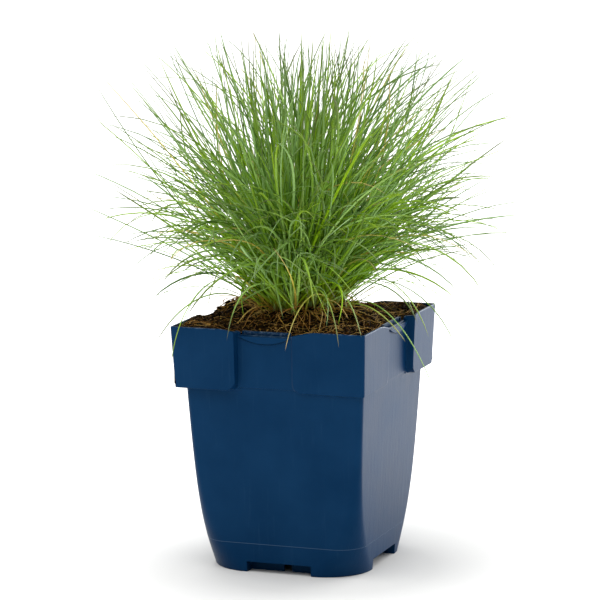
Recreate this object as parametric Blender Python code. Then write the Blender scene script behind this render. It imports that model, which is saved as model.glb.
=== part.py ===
"""Potted blue fescue clump: a square nursery pot, the peat in it and a round clump of needle leaves.

Metres, +Z up. The origin is on the ground under the middle of the pot. The pot's front looks along -Y.
The pot's collar has four corners. The front left and the back right one stand proud, the other two are
plain, so that pots lock side by side, and each side runs from a proud end over a middle to a plain end.
"""

import math

import bmesh
import bpy
from mathutils import Matrix, Vector

OBJECT_NAME = "potted_blue_fescue"
GAP = 0.0003  # between pieces

# Pot
POT_HEIGHT = 0.161
COLLAR_FOOT = 0.121
WALL = 0.0014
BODY_GROUND_REACH = 0.0531  # from the pot's axis to a side, at the ground
BODY_COLLAR_REACH = 0.0602  # and under the collar
CORNER_RADIUS_TOP = 0.003
CORNER_RADIUS_GAIN = 0.027
CORNER_FADE = 0.030  # height over which a foot's round corner turns into the tight corner above
COLLAR_FOOT_REACH = {"proud": 0.0655, "middle": 0.0610, "plain": 0.0618}
COLLAR_TOP_REACH = {"proud": 0.0675, "middle": 0.0616, "plain": 0.0626}
COLLAR_CORNER_RADIUS = 0.0016
DIP = 0.004  # how far the rim sinks in the middle of a side
ARC_STEPS = 6
BODY_LEVELS = (0.0, 0.004, 0.010, 0.018, 0.028, 0.042, 0.060, 0.085)
# A side's stations from its proud end: place along it, its panel, whether the rim is sunk there, and which
# way the step at that place moves as the wall is measured further inwards.
STATIONS = (
    (-0.033, "proud", 0, 0),
    (-0.024, "proud", 1, -1),
    (-0.023, "middle", 1, -1),
    (0.013, "middle", 1, 1),
    (0.014, "plain", 1, 1),
    (0.033, "plain", 0, 0),
)

# Base
FLOOR_UNDERSIDE = 0.0070
FLOOR_TOP = 0.0085
FOOT_WALL = 0.0022
NICHE_HALF_WIDTH = 0.0220
NICHE_DEPTH = 0.0085
NICHE_WALL = 0.0018
DRAIN_GAP = (0.0005, 0.0060)  # along the side, through the niche's inner wall
DRAIN_HOLE_RADIUS = 0.0045
DRAIN_HOLE_OFFSET = 0.0230

# Label slot in the middle of each side
SLOT_SPAN = (-0.020, 0.010)
SLOT_GAP = 0.0025
SLOT_INNER_WALL = 0.0013  # the wall behind the slot and at its two ends
SLOT_BED = 0.002  # thickness under the slot
SLOT_FLOOR = 0.1380
SLOT_INNER_TOP = 0.1590
LIP_HALF_WIDTH = 0.0175
LIP_HEIGHT = 0.0044
LIP_THICKNESS = 0.0010
LIP_DROP = 0.0006  # how far the lip's flat top lies under the sunk rim
LIP_STEPS = 8

# Soil
SOIL_EDGE_HEIGHT = 0.1572
SOIL_MOUND = 0.0095
SOIL_MOUND_RADIUS = 0.064
SOIL_SHOULDER_REACH = 0.047  # where the heap starts, from the pot's axis
SOIL_SHOULDER_RADIUS = 0.008
SOIL_RINGS = (1.0, 0.75, 0.45, 0.18)  # share of the way from the crown to that shoulder

# Grass
CROWN = (-0.008, 0.012)
CLUMP_REACH = 0.138  # how far the leaves spread from the pot's axis
# Rings of tufts: distance of the feet from the crown, rise, bend, length, and the azimuths, which leave
# room for the arching leaves
TUFT_RINGS = (
    (0.0000, 88, 0, 0.175, (0,)),
    (0.0095, 73, 3, 0.168, (15, 75, 135, 195, 255, 315)),
    (0.0180, 56, 5, 0.154, (0, 36, 72, 108, 144, 180, 237, 270, 300, 330)),
    (0.0260, 40, 8, 0.134, (28, 52, 80, 102, 128, 164, 230, 258, 282, 329, 345)),
    (0.0350, 23, 13, 0.104, (42, 90, 130, 165, 263, 280)),
)
# Long single leaves: azimuth of the foot, azimuth of the leaf, rise, bend, lateness of the bend, length
ARCHING_LEAVES = (
    (184, 199, 68, 128, 0.80, 0.096),
    (192, 206, 58, 100, 0.80, 0.096),
    (200, 210, 60, 84, 0.50, 0.072),
    (196, 257, 68, 156, 0.75, 0.130),
    (216, 248, 44, 92, 0.80, 0.098),
    (188, 272, 74, 142, 1.00, 0.112),
    (334, 268, 52, 112, 0.90, 0.100),
    (296, 306, 66, 136, 0.90, 0.098),
    (313, 309, 60, 116, 0.90, 0.094),
    (352, 322, 62, 118, 0.45, 0.124),
    (342, 322, 50, 84, 0.50, 0.082),
    (0, 346, 84, 160, 0.90, 0.072),
    (8, 20, 84, 160, 0.80, 0.080),
    (24, 16, 50, 142, 1.10, 0.098),
    (14, 4, 34, 24, 1.00, 0.122),
    (176, 192, 36, 28, 1.00, 0.105),
    (246, 268, 38, 26, 1.00, 0.128),
    (70, 62, 66, 118, 0.70, 0.104),
    (110, 118, 60, 128, 0.80, 0.110),
    (148, 152, 58, 96, 0.80, 0.100),
)
LEAF_FOOT_DISTANCE = 0.033
TUFT_FOOT_RADIUS = 0.0023
TUFT_WIDEST = 0.0075
TUFT_TIP_RADIUS = 0.0016
TUFT_POINTS = 7
LEAF_RADIUS = 0.0006
LEAF_POINTS = 13


def clear_scene():
    """Removes every object of the scene."""
    for item in list(bpy.data.objects):
        bpy.data.objects.remove(item)


def make_collection(name):
    """A collection under the scene's own."""
    collection = bpy.data.collections.new(name)
    bpy.context.scene.collection.children.link(collection)
    return collection


def make_material(name, colour, roughness, metallic=0.0):
    """A plain Principled finish."""
    material = bpy.data.materials.new(name)
    material.use_nodes = True
    shader = material.node_tree.nodes["Principled BSDF"]
    shader.inputs["Base Color"].default_value = (*colour, 1.0)
    shader.inputs["Roughness"].default_value = roughness
    shader.inputs["Metallic"].default_value = metallic
    return material


def add_object(name, data, material, collection):
    """A named object with its own finish."""
    item = bpy.data.objects.new(name, data)
    item.data.materials.append(material)
    collection.objects.link(item)
    return item


def body_reach(height):
    """Distance from the axis to the body's side: a straight draft that bellies out slightly."""
    return BODY_GROUND_REACH + (BODY_COLLAR_REACH - BODY_GROUND_REACH) * (height / COLLAR_FOOT) ** 0.94


def corner_radius(height):
    """Radius of the body's upright corners: wide at the feet, tight at the collar."""
    return CORNER_RADIUS_TOP + CORNER_RADIUS_GAIN * math.exp(-((height / CORNER_FADE) ** 1.2))


def collar_reach(height):
    """Distance from the axis to each panel of the collar, which leans out a little."""
    share = (height - COLLAR_FOOT) / (POT_HEIGHT - COLLAR_FOOT)
    return {
        panel: COLLAR_FOOT_REACH[panel] + share * (COLLAR_TOP_REACH[panel] - COLLAR_FOOT_REACH[panel])
        for panel in COLLAR_FOOT_REACH
    }


def pot_ring(height, reach, radius, inset=0.0, dip=0.0):
    """Points of the pot's outline at one height, anticlockwise seen from above."""
    points = []
    for side in range(4):
        turn = Matrix.Rotation(math.radians(90 * side), 3, "Z")
        proud_first = side % 2 == 0
        panel = "proud" if proud_first else "plain"
        arc = max(radius - inset, GAP)
        centre = inset + arc - reach[panel]
        squeeze = min(1.0, -0.97 * centre / STATIONS[-1][0])
        for step in range(ARC_STEPS + 1):
            angle = math.radians(180 + 90 * step / ARC_STEPS)
            corner = (centre + arc * math.cos(angle), centre + arc * math.sin(angle), height)
            points.append(turn @ Vector(corner))
        for place, station_panel, sunk, way in STATIONS if proud_first else STATIONS[::-1]:
            along = (place * squeeze + way * inset) * (1 if proud_first else -1)
            station = (along, inset - reach[station_panel], height - sunk * dip)
            points.append(turn @ Vector(station))
    return points


def body_ring(height, inset=0.0):
    """The body's outline: all its panels lie in one plane on each side."""
    reach = body_reach(height)
    return pot_ring(height, dict.fromkeys(COLLAR_FOOT_REACH, reach), corner_radius(height), inset)


def loft(rings):
    """A closed body through rings of equally many points, with a flat face at both ends."""
    mesh = bmesh.new()
    loops = [[mesh.verts.new(point) for point in ring] for ring in rings]
    for lower, upper in zip(loops, loops[1:]):
        for index in range(len(lower)):
            following = (index + 1) % len(lower)
            mesh.faces.new((lower[index], lower[following], upper[following], upper[index]))
    mesh.faces.new(loops[0][::-1])
    mesh.faces.new(loops[-1])
    return mesh


def mesh_from(name, mesh):
    """Writes a bmesh into a new mesh, with its faces turned outwards."""
    bmesh.ops.recalc_face_normals(mesh, faces=mesh.faces)
    data = bpy.data.meshes.new(name)
    mesh.to_mesh(data)
    mesh.free()
    return data


def side_frame(side):
    """Along a side from its proud end, and straight out of it."""
    quarter = math.radians(90 * side)
    way = 1 if side % 2 == 0 else -1
    along = Vector((math.cos(quarter), math.sin(quarter), 0)) * way
    outward = Vector((math.sin(quarter), -math.cos(quarter), 0))
    return along, outward


def side_prism(outline, side, nearest, furthest):
    """A prism on a side of the pot: outline in (along, height), between two distances from the axis."""
    along, outward = side_frame(side)
    rings = [
        [along * place + outward * distance + Vector((0, 0, height)) for place, height in outline]
        for distance in (nearest, furthest)
    ]
    return loft(rings)


def rectangle(left, right, low, high):
    """Corners of a rectangle."""
    return [(left, low), (right, low), (right, high), (left, high)]


def half_moon():
    """Outline of a label slot's lip: flat at the sunk rim, with a shallow arc hanging from it."""
    middle = sum(SLOT_SPAN) / 2
    top = POT_HEIGHT - DIP - LIP_DROP
    arc_radius = (LIP_HALF_WIDTH**2 + LIP_HEIGHT**2) / (2 * LIP_HEIGHT)
    half_angle = math.asin(LIP_HALF_WIDTH / arc_radius)
    outline = []
    for step in range(LIP_STEPS + 1):
        angle = half_angle * (2 * step / LIP_STEPS - 1)
        drop = arc_radius * math.cos(angle) - (arc_radius - LIP_HEIGHT)
        outline.append((middle + arc_radius * math.sin(angle), top - drop))
    return outline


def hollow_outline(height):
    """The space under the floor: inside the feet at the corners, behind the niches at the sides."""
    behind_niche = BODY_GROUND_REACH - NICHE_DEPTH - NICHE_WALL
    beside_niche = NICHE_HALF_WIDTH + NICHE_WALL
    radius = corner_radius(0.0) - FOOT_WALL
    centre = BODY_GROUND_REACH - corner_radius(0.0)
    points = []
    for side in range(4):
        turn = Matrix.Rotation(math.radians(90 * side), 3, "Z")
        start = math.asin((beside_niche - centre) / radius)
        corner = [(behind_niche, beside_niche)]
        for step in range(ARC_STEPS + 1):
            angle = start + (math.pi / 2 - 2 * start) * step / ARC_STEPS
            corner.append((centre + radius * math.cos(angle), centre + radius * math.sin(angle)))
        corner.append((beside_niche, behind_niche))
        points += [turn @ Vector((x, y, height)) for x, y in corner]
    return points


def add_boolean(target, mesh, name, operation, cutters):
    """Cuts or joins a shape with a Boolean modifier whose operand is kept as a wire."""
    operand = bpy.data.objects.new(name, mesh_from(name, mesh))
    cutters.objects.link(operand)
    operand.hide_render = True
    operand.display_type = "WIRE"
    modifier = target.modifiers.new(name, "BOOLEAN")
    modifier.operation = operation
    modifier.solver = "EXACT"
    modifier.object = operand


def pot_shell():
    """The pot's wall and floor: up the outside, over the rim and down the inside to the floor."""
    collar_foot = collar_reach(COLLAR_FOOT)
    collar_top = collar_reach(POT_HEIGHT)
    ledge = COLLAR_FOOT + WALL
    rings = [body_ring(height) for height in BODY_LEVELS]
    rings.append(body_ring(COLLAR_FOOT))
    rings.append(pot_ring(COLLAR_FOOT, collar_foot, COLLAR_CORNER_RADIUS))
    rings.append(pot_ring(POT_HEIGHT, collar_top, COLLAR_CORNER_RADIUS, 0.0, DIP))
    rings.append(pot_ring(POT_HEIGHT, collar_top, COLLAR_CORNER_RADIUS, WALL, DIP))
    rings.append(pot_ring(ledge, collar_reach(ledge), COLLAR_CORNER_RADIUS, WALL))
    rings.append(body_ring(ledge, WALL))
    rings += [body_ring(height, WALL) for height in BODY_LEVELS[:2:-1]]
    rings.append(body_ring(FLOOR_TOP, WALL))
    return loft(rings)


def add_label_slots(pot, cutters):
    """A pocket behind the sunk rim of each side and a half-moon lip in front of it."""
    reach = COLLAR_TOP_REACH["middle"]
    inner_face = reach - WALL - SLOT_GAP
    in_the_wall = reach - WALL / 2  # shapes that join the wall end inside it
    left = SLOT_SPAN[0] - SLOT_INNER_WALL
    right = SLOT_SPAN[1] + SLOT_INNER_WALL
    block = rectangle(left, right, SLOT_FLOOR - SLOT_BED, SLOT_INNER_TOP)
    slot = rectangle(*SLOT_SPAN, SLOT_FLOOR, POT_HEIGHT)
    above_rim = rectangle(left - GAP, right + GAP, POT_HEIGHT - DIP, POT_HEIGHT)
    for side in range(4):
        shapes = (
            (block, inner_face - SLOT_INNER_WALL, in_the_wall, "UNION"),
            (slot, inner_face, reach - WALL, "DIFFERENCE"),
            (above_rim, inner_face + SLOT_GAP / 4, reach + LIP_THICKNESS, "DIFFERENCE"),
            (half_moon(), in_the_wall, reach + LIP_THICKNESS, "UNION"),
        )
        for number, (outline, nearest, furthest, operation) in enumerate(shapes):
            name = f"label_slot_{side}_{number}"
            add_boolean(pot, side_prism(outline, side, nearest, furthest), name, operation, cutters)


def add_base(pot, cutters):
    """Hollows the base under the floor and opens a niche with a drain gap in each side."""
    below = -DRAIN_HOLE_RADIUS  # cuts run out under the ground
    hollow = loft([hollow_outline(below), hollow_outline(FLOOR_UNDERSIDE)])
    add_boolean(pot, hollow, "under_floor", "DIFFERENCE", cutters)
    inner_face = BODY_GROUND_REACH - NICHE_DEPTH
    niche = rectangle(-NICHE_HALF_WIDTH, NICHE_HALF_WIDTH, below, FLOOR_UNDERSIDE)
    gap = rectangle(*DRAIN_GAP, below, FLOOR_UNDERSIDE - WALL)
    for side in range(4):
        niche_cut = side_prism(niche, side, inner_face, BODY_COLLAR_REACH)
        add_boolean(pot, niche_cut, f"niche_{side}", "DIFFERENCE", cutters)
        gap_cut = side_prism(gap, side, inner_face - 2 * NICHE_WALL, inner_face + NICHE_WALL)
        add_boolean(pot, gap_cut, f"drain_gap_{side}", "DIFFERENCE", cutters)
    for number, (x, y) in enumerate(((0, 0), (1, 1), (1, -1), (-1, -1), (-1, 1))):
        hole = bmesh.new()
        bmesh.ops.create_cone(
            hole,
            cap_ends=True,
            segments=12,
            radius1=DRAIN_HOLE_RADIUS,
            radius2=DRAIN_HOLE_RADIUS,
            depth=FLOOR_TOP,
        )
        place = Vector((x * DRAIN_HOLE_OFFSET, y * DRAIN_HOLE_OFFSET, FLOOR_TOP))
        bmesh.ops.translate(hole, verts=hole.verts, vec=place)
        add_boolean(pot, hole, f"drain_hole_{number}", "DIFFERENCE", cutters)


def make_pot(collection, cutters):
    """The pot as one moulding."""
    plastic = make_material("navy_plastic", (0.011, 0.045, 0.12), 0.38)
    pot = add_object("pot", mesh_from("pot", pot_shell()), plastic, collection)
    add_label_slots(pot, cutters)
    add_base(pot, cutters)


def soil_height(x, y):
    """Height of the soil: level at the wall, heaped round the crown."""
    distance = math.hypot(x - CROWN[0], y - CROWN[1])
    share = max(0.0, 1.0 - (distance / SOIL_MOUND_RADIUS) ** 2)
    return SOIL_EDGE_HEIGHT + SOIL_MOUND * share**1.2


def make_soil(collection):
    """The peat: it fills the pot up to just under the rim and is heaped round the crown."""
    inset = WALL + GAP
    ledge = COLLAR_FOOT + WALL + GAP
    under_slot = SLOT_FLOOR - 2 * SLOT_BED

    def collar_soil(height, narrowing):
        """Soil's outline in the collar, drawn in by a narrowing in the middle of each side."""
        reach = collar_reach(height)
        reach["middle"] -= narrowing
        return pot_ring(height, reach, COLLAR_CORNER_RADIUS, inset)

    clear_of_slot = SLOT_GAP + SLOT_INNER_WALL + GAP
    rings = [body_ring(FLOOR_TOP + GAP, inset)]
    rings += [body_ring(height, inset) for height in BODY_LEVELS[3:]]
    rings.append(body_ring(ledge, inset))
    rings.append(collar_soil(ledge, 0.0))
    rings.append(collar_soil(under_slot, 0.0))
    rings.append(collar_soil(under_slot + SLOT_BED / 2, clear_of_slot))
    rim = collar_soil(SOIL_EDGE_HEIGHT, clear_of_slot)
    rings.append(rim)
    shoulder = pot_ring(0.0, dict.fromkeys(COLLAR_FOOT_REACH, SOIL_SHOULDER_REACH), SOIL_SHOULDER_RADIUS)
    for share in SOIL_RINGS:
        ring = []
        for point in shoulder:
            x = CROWN[0] + share * (point.x - CROWN[0])
            y = CROWN[1] + share * (point.y - CROWN[1])
            ring.append(Vector((x, y, soil_height(x, y))))
        rings.append(ring)
    peat = make_material("peat", (0.028, 0.014, 0.007), 0.95)
    add_object("potting_soil", mesh_from("potting_soil", loft(rings)), peat, collection)


def bowed_path(foot, azimuth, rise, bend, length, count, lateness=1.3):
    """Points along a leaf. It leaves its foot at its rise and bows down by its bend before the tip, sooner
    or later along its length. Angles are in degrees."""
    turn = math.radians(azimuth)
    points = [foot]
    for step in range(count - 1):
        share = (step + 0.5) / (count - 1)
        slope = math.radians(rise - bend * share**lateness)
        way = Vector((math.cos(slope) * math.cos(turn), math.cos(slope) * math.sin(turn), math.sin(slope)))
        points.append(points[-1] + way * (length / (count - 1)))
    return points


def tapered_tube(name, points, radii, corners, material, collection):
    """A closed tube along points, with a radius at each."""
    curve = bpy.data.curves.new(name, "CURVE")
    curve.dimensions = "3D"
    curve.bevel_depth = 1.0
    curve.bevel_resolution = corners // 2 - 2
    curve.use_fill_caps = True
    spline = curve.splines.new("POLY")
    spline.points.add(len(points) - 1)
    for spot, point, radius in zip(spline.points, points, radii):
        spot.co = (*point, 1.0)
        spot.radius = radius
    return add_object(name, curve, material, collection)


def tuft_radius(share):
    """A tuft is slim at its foot, widest at three quarters and closes at its tip."""
    if share < 0.75:
        return TUFT_FOOT_RADIUS + (TUFT_WIDEST - TUFT_FOOT_RADIUS) * (share / 0.75)
    closing = (share - 0.75) / 0.25
    return TUFT_WIDEST + (TUFT_TIP_RADIUS - TUFT_WIDEST) * closing**1.5


def foot_point(distance, azimuth, rise, radius):
    """Where a tuft or a leaf stands: its end just clears the soil."""
    x = CROWN[0] + distance * math.cos(math.radians(azimuth))
    y = CROWN[1] + distance * math.sin(math.radians(azimuth))
    return Vector((x, y, soil_height(x, y) + radius * math.cos(math.radians(rise)) + 2 * GAP))


def reach_share(azimuth):
    """How far the crown is from the clump's outer circle in a direction, as a share of the circle's radius.
    The crown stands off the pot's axis, so leaves grow longer on the far side."""
    offset = Vector(CROWN)
    way = Vector((math.cos(math.radians(azimuth)), math.sin(math.radians(azimuth))))
    ahead = offset.dot(way)
    return (math.sqrt(CLUMP_REACH**2 - offset.length_squared + ahead**2) - ahead) / CLUMP_REACH


def make_tufts(collection):
    """The clump's tufts, standing in rings round the crown and leaning out more from ring to ring."""
    green = make_material("leaf_green", (0.12, 0.24, 0.08), 0.5)
    radii = [tuft_radius(step / (TUFT_POINTS - 1)) for step in range(TUFT_POINTS)]
    number = 0
    for distance, rise, bend, length, azimuths in TUFT_RINGS:
        for azimuth in azimuths:
            number += 1
            foot = foot_point(distance, azimuth, rise, TUFT_FOOT_RADIUS)
            own_length = length * reach_share(azimuth) ** math.cos(math.radians(rise))
            points = bowed_path(foot, azimuth, rise, bend, own_length, TUFT_POINTS)
            tapered_tube(f"leaf_tuft_{number:02d}", points, radii, 6, green, collection)


def leaf_radius(share):
    """A leaf is a needle: nearly even to the middle and drawn out to a fine tip."""
    return LEAF_RADIUS * (1.0 - 0.75 * share**2)


def make_arching_leaves(collection):
    """The long leaves that bow out of the clump, some of them over the pot's rim."""
    green = make_material("arching_leaf_green", (0.16, 0.28, 0.10), 0.5)
    radii = [leaf_radius(step / (LEAF_POINTS - 1)) for step in range(LEAF_POINTS)]
    for number, (stand, azimuth, rise, bend, lateness, length) in enumerate(ARCHING_LEAVES, 1):
        foot = foot_point(LEAF_FOOT_DISTANCE, stand, rise, LEAF_RADIUS)
        points = bowed_path(foot, azimuth, rise, bend, length, LEAF_POINTS, lateness)
        tapered_tube(f"arching_leaf_{number:02d}", points, radii, 4, green, collection)


def main():
    clear_scene()
    collection = make_collection(OBJECT_NAME)
    cutters = make_collection("cutters")
    make_pot(collection, cutters)
    make_soil(collection)
    make_tufts(collection)
    make_arching_leaves(collection)


main()
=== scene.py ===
"""Finished look of the potted blue fescue clump: the moulded pot, the peat and every leaf.

Metres, +Z up, the pot's front looks along -Y. The pot's front left and back right corners stand proud.
"""

import math

import bmesh
import bpy
import numpy as np
from mathutils import Matrix, Vector


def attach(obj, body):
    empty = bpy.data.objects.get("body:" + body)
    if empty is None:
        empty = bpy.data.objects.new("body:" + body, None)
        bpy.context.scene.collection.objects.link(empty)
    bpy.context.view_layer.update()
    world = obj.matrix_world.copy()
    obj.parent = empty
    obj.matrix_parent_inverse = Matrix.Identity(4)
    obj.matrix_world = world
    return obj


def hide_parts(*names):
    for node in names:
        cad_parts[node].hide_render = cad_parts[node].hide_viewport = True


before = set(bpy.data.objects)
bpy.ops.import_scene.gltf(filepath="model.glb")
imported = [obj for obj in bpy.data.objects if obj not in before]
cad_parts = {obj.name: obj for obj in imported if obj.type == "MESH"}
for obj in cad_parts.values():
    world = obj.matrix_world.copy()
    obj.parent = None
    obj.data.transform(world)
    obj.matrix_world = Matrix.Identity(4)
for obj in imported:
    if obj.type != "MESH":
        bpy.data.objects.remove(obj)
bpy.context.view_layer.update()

# Pot
POT_HEIGHT = 0.161
COLLAR_FOOT = 0.121
WALL = 0.0014
BODY_GROUND_REACH = 0.0531
BODY_COLLAR_REACH = 0.0602
PROUD_REACH = (0.0655, 0.0675)  # at the collar's foot and at its rim
MIDDLE_REACH = (0.0610, 0.0616)
PLAIN_REACH = (0.0618, 0.0626)
PROUD_STEP = -0.0235
PLAIN_STEP = 0.0135
STEP_RUN = 0.0011
PANEL_CORNER = 0.0060  # radius of a panel's lower inner corner
MIDDLE_FOOT_RISE = 0.0016
RIM_DIP = 0.0040
EDGE = 0.0005  # rounding of the moulding's edges
ARC_STEPS = 14
FLOOR_UNDERSIDE = 0.0070
FLOOR_TOP = 0.0085
FOOT_WALL = 0.0022
NICHE_HALF_WIDTH = 0.0220
NICHE_DEPTH = 0.0085
NICHE_WALL = 0.0018
DRAIN_GAP = (0.0005, 0.0060)
DRAIN_HOLE_RADIUS = 0.0045
DRAIN_HOLE_OFFSET = 0.0230
MOULD_LINE = 0.0192  # height of the mould line round the wall, a slight ridge painted pale as a highlight
FOOT_CORNER = 0.0300  # radius of the feet's outer corners
SLOT_SPAN = (-0.0200, 0.0100)
SLOT_GAP = 0.0025
SLOT_WALL = 0.0013
SLOT_FLOOR = 0.1380
SLOT_INNER_TOP = 0.1590
SLOT_BED = 0.0020  # thickness under a slot's floor
PAST = 0.004  # how far a cut runs past the surface that it opens
LIP_HALF_WIDTH = 0.0175
LIP_HEIGHT = 0.0044
LIP_DROP = 0.0006  # from the sunk rim down to the lip
LIP_THICKNESS = 0.0013
LIP_GROOVE = 0.0008  # width of the groove under the lip
LIP_GROOVE_DEPTH = 0.0006

# Peat and crown
GAP = 0.0003
SOIL_EDGE_HEIGHT = 0.1572
SOIL_MOUND = 0.0095
SOIL_MOUND_RADIUS = 0.064
SLOT_ZONE = 0.028  # half width of the zone where a label slot narrows the peat
CROWN = (-0.008, 0.012)
LONGEST_LEAF = 0.182
CLUMP_REACH = 0.1375  # how far the leaves spread from the pot's axis
CLUMP_TOP = 0.3415
TIP_BOUND = 0.1395  # no leaf goes past this on X or Y
ARCH_STAND = 0.033  # distance of the arching leaves' feet from the crown
SHOOT_LEAVES = 6  # leaves that fan out of one shoot
LEAF_POINTS = 14  # points along each leaf of a tuft

# Rings of tufts: distance of the feet from the crown, rise and azimuths
TUFT_RINGS = (
    (0.0000, 88, (0,)),
    (0.0095, 73, (15, 75, 135, 195, 255, 315)),
    (0.0180, 56, (0, 36, 72, 108, 144, 180, 237, 270, 300, 330)),
    (0.0260, 40, (28, 52, 80, 102, 128, 164, 230, 258, 282, 329, 345)),
    (0.0350, 23, (42, 90, 130, 165, 263, 280)),
)
# Long single leaves: azimuth of the foot, azimuth of the leaf, rise, bend, lateness of the bend, length,
# half width and dryness
ARCHING_LEAVES = (
    (184, 199, 68, 128, 0.80, 0.096, 0.0005, 0.0),
    (192, 206, 58, 100, 0.80, 0.096, 0.0005, 0.0),
    (200, 210, 60, 84, 0.50, 0.072, 0.0005, 0.1),
    (196, 257, 68, 156, 0.75, 0.130, 0.0006, 0.0),
    (216, 248, 44, 92, 0.80, 0.098, 0.0008, 0.0),
    (188, 272, 74, 142, 1.00, 0.112, 0.0005, 0.1),
    (334, 268, 52, 112, 0.90, 0.100, 0.0007, 0.6),
    (296, 306, 66, 136, 0.90, 0.098, 0.0005, 0.1),
    (313, 309, 60, 116, 0.90, 0.094, 0.0006, 0.1),
    (352, 322, 62, 118, 0.45, 0.124, 0.0006, 0.0),
    (342, 322, 50, 84, 0.50, 0.082, 0.0006, 0.3),
    (0, 346, 84, 160, 0.90, 0.072, 0.0005, 0.1),
    (8, 20, 84, 160, 0.80, 0.080, 0.0005, 0.1),
    (24, 16, 50, 142, 1.10, 0.098, 0.0005, 0.0),
    (14, 4, 34, 24, 1.00, 0.122, 0.0005, 0.0),
    (176, 192, 36, 28, 1.00, 0.105, 0.0005, 0.0),
    (246, 268, 38, 26, 1.00, 0.128, 0.0005, 0.0),
    (70, 62, 66, 118, 0.70, 0.104, 0.0005, 0.0),
    (110, 118, 60, 128, 0.80, 0.110, 0.0005, 0.0),
    (148, 152, 58, 96, 0.80, 0.100, 0.0005, 0.0),
)


# Shapes


def make_piece(name, points, faces, finish, marks=None, smooth=True):
    """A piece from points (n, 3) and a list of face arrays, each of faces with equally many corners. marks
    are named numbers, one for each point."""
    mesh = bpy.data.meshes.new(name)
    corners = np.concatenate([block.ravel() for block in faces])
    sizes = np.concatenate([np.full(len(block), block.shape[1]) for block in faces])
    mesh.vertices.add(len(points))
    mesh.vertices.foreach_set("co", np.asarray(points, np.float32).ravel())
    mesh.loops.add(len(corners))
    mesh.loops.foreach_set("vertex_index", corners.astype(np.int32))
    mesh.polygons.add(len(sizes))
    mesh.polygons.foreach_set("loop_start", (np.cumsum(sizes) - sizes).astype(np.int32))
    mesh.polygons.foreach_set("use_smooth", np.full(len(sizes), smooth))
    mesh.update(calc_edges=True)
    mesh.validate()
    for key, values in (marks or {}).items():
        mark = mesh.attributes.new(key, "FLOAT", "POINT")
        mark.data.foreach_set("value", np.asarray(values, np.float32).ravel())
    mesh.materials.append(finish)
    piece = bpy.data.objects.new(name, mesh)
    bpy.context.scene.collection.objects.link(piece)
    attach(piece, "root")
    return piece


def grid_faces(rows, columns):
    """Quads of a grid of points, rows by columns, whose columns close into a ring."""
    ring = np.arange(columns)
    row = np.arange(rows - 1)[:, None] * columns
    here, there = row + ring, row + (ring + 1) % columns
    return np.stack((here, there, there + columns, here + columns), 2).reshape(-1, 4)


def closed_faces(rows, columns):
    """Faces between the rings of a stack, and one face that closes each of its ends."""
    ring = np.arange(columns)
    return [grid_faces(rows, columns), np.array((ring[::-1], ring + columns * (rows - 1)))]


def smooth_step(value):
    """0 below 0, 1 above 1 and a smooth S between."""
    share = np.clip(value, 0.0, 1.0)
    return share * share * (3.0 - 2.0 * share)


def unevenness(x, y, cell, seed):
    """Smooth random hills from -1 to 1, with one lattice value for each cell of a plane."""
    lattice = np.random.default_rng(seed).uniform(-1.0, 1.0, (64, 64))
    u, v = np.asarray(x) / cell + 200.0, np.asarray(y) / cell + 200.0
    column, row = np.floor(u).astype(int), np.floor(v).astype(int)
    across, along = smooth_step(u - column), smooth_step(v - row)
    near = lattice[row % 64, column % 64] * (1 - across) + lattice[row % 64, (column + 1) % 64] * across
    far_row = (row + 1) % 64
    far = lattice[far_row, column % 64] * (1 - across) + lattice[far_row, (column + 1) % 64] * across
    return near * (1 - along) + far * along


# Pot


def body_reach(height):
    """Distance from the axis to the body's side: a straight draft that bellies out slightly."""
    share = np.maximum(height, 0.0) / COLLAR_FOOT
    return BODY_GROUND_REACH + (BODY_COLLAR_REACH - BODY_GROUND_REACH) * share**0.94


def body_corner(height):
    """Radius of the body's upright corners: wide at the feet, tight at the collar."""
    return 0.003 + 0.027 * np.exp(-((np.maximum(height, 0.0) / 0.030) ** 1.2))


def rim_height(place):
    """Height of the rim along a side: it sinks from both corners to the label slot in the middle."""
    fall = np.clip((place + 0.034) / 0.018, 0.0, 1.0) ** 1.7
    rise = np.clip((0.030 - place) / 0.019, 0.0, 1.0) ** 1.5
    return POT_HEIGHT - RIM_DIP * fall * rise


def collar_foot(place):
    """Height of the collar's lower edge: a little higher between the two panels."""
    start = smooth_step((place - PROUD_STEP) / 0.0015)
    end = smooth_step((PLAIN_STEP + 0.006 - place) / 0.006)
    return COLLAR_FOOT + MIDDLE_FOOT_RISE * start * end


def collar_reach(place, height):
    """Distance from the axis to the collar along a side: the proud panel, a step down to the middle, and a
    small step up to the plain panel. Both panels have a rounded lower inner corner."""
    share = (height - COLLAR_FOOT) / (POT_HEIGHT - COLLAR_FOOT)
    spans = (PROUD_REACH, MIDDLE_REACH, PLAIN_REACH)
    proud, middle, plain = (low + share * (high - low) for low, high in spans)
    above = np.clip(height - COLLAR_FOOT, 0.0, PANEL_CORNER)
    cut = PANEL_CORNER - np.sqrt(np.maximum(PANEL_CORNER**2 - (PANEL_CORNER - above) ** 2, 0.0))
    down = smooth_step((place - PROUD_STEP + cut) / STEP_RUN + 0.5)
    up = smooth_step((place - PLAIN_STEP - cut) / STEP_RUN + 0.5)
    return proud + (middle - proud) * down + (plain - middle) * up


SIDE_PLACES = np.concatenate((
    np.linspace(-0.058, -0.0335, 7),
    np.linspace(-0.0320, -0.0250, 8),
    PROUD_STEP + STEP_RUN * np.linspace(-0.6, 0.6, 9),
    np.linspace(-0.0220, 0.0120, 16),
    PLAIN_STEP + STEP_RUN * np.linspace(-0.6, 0.6, 5),
    np.linspace(0.0150, 0.0205, 6),
    np.linspace(0.0240, 0.0560, 8),
))


def quarter_turn(side):
    """Turns row vectors anticlockwise by a quarter for each side."""
    angle = math.radians(90 * side)
    return np.array(((math.cos(angle), math.sin(angle)), (-math.sin(angle), math.cos(angle))))


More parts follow.
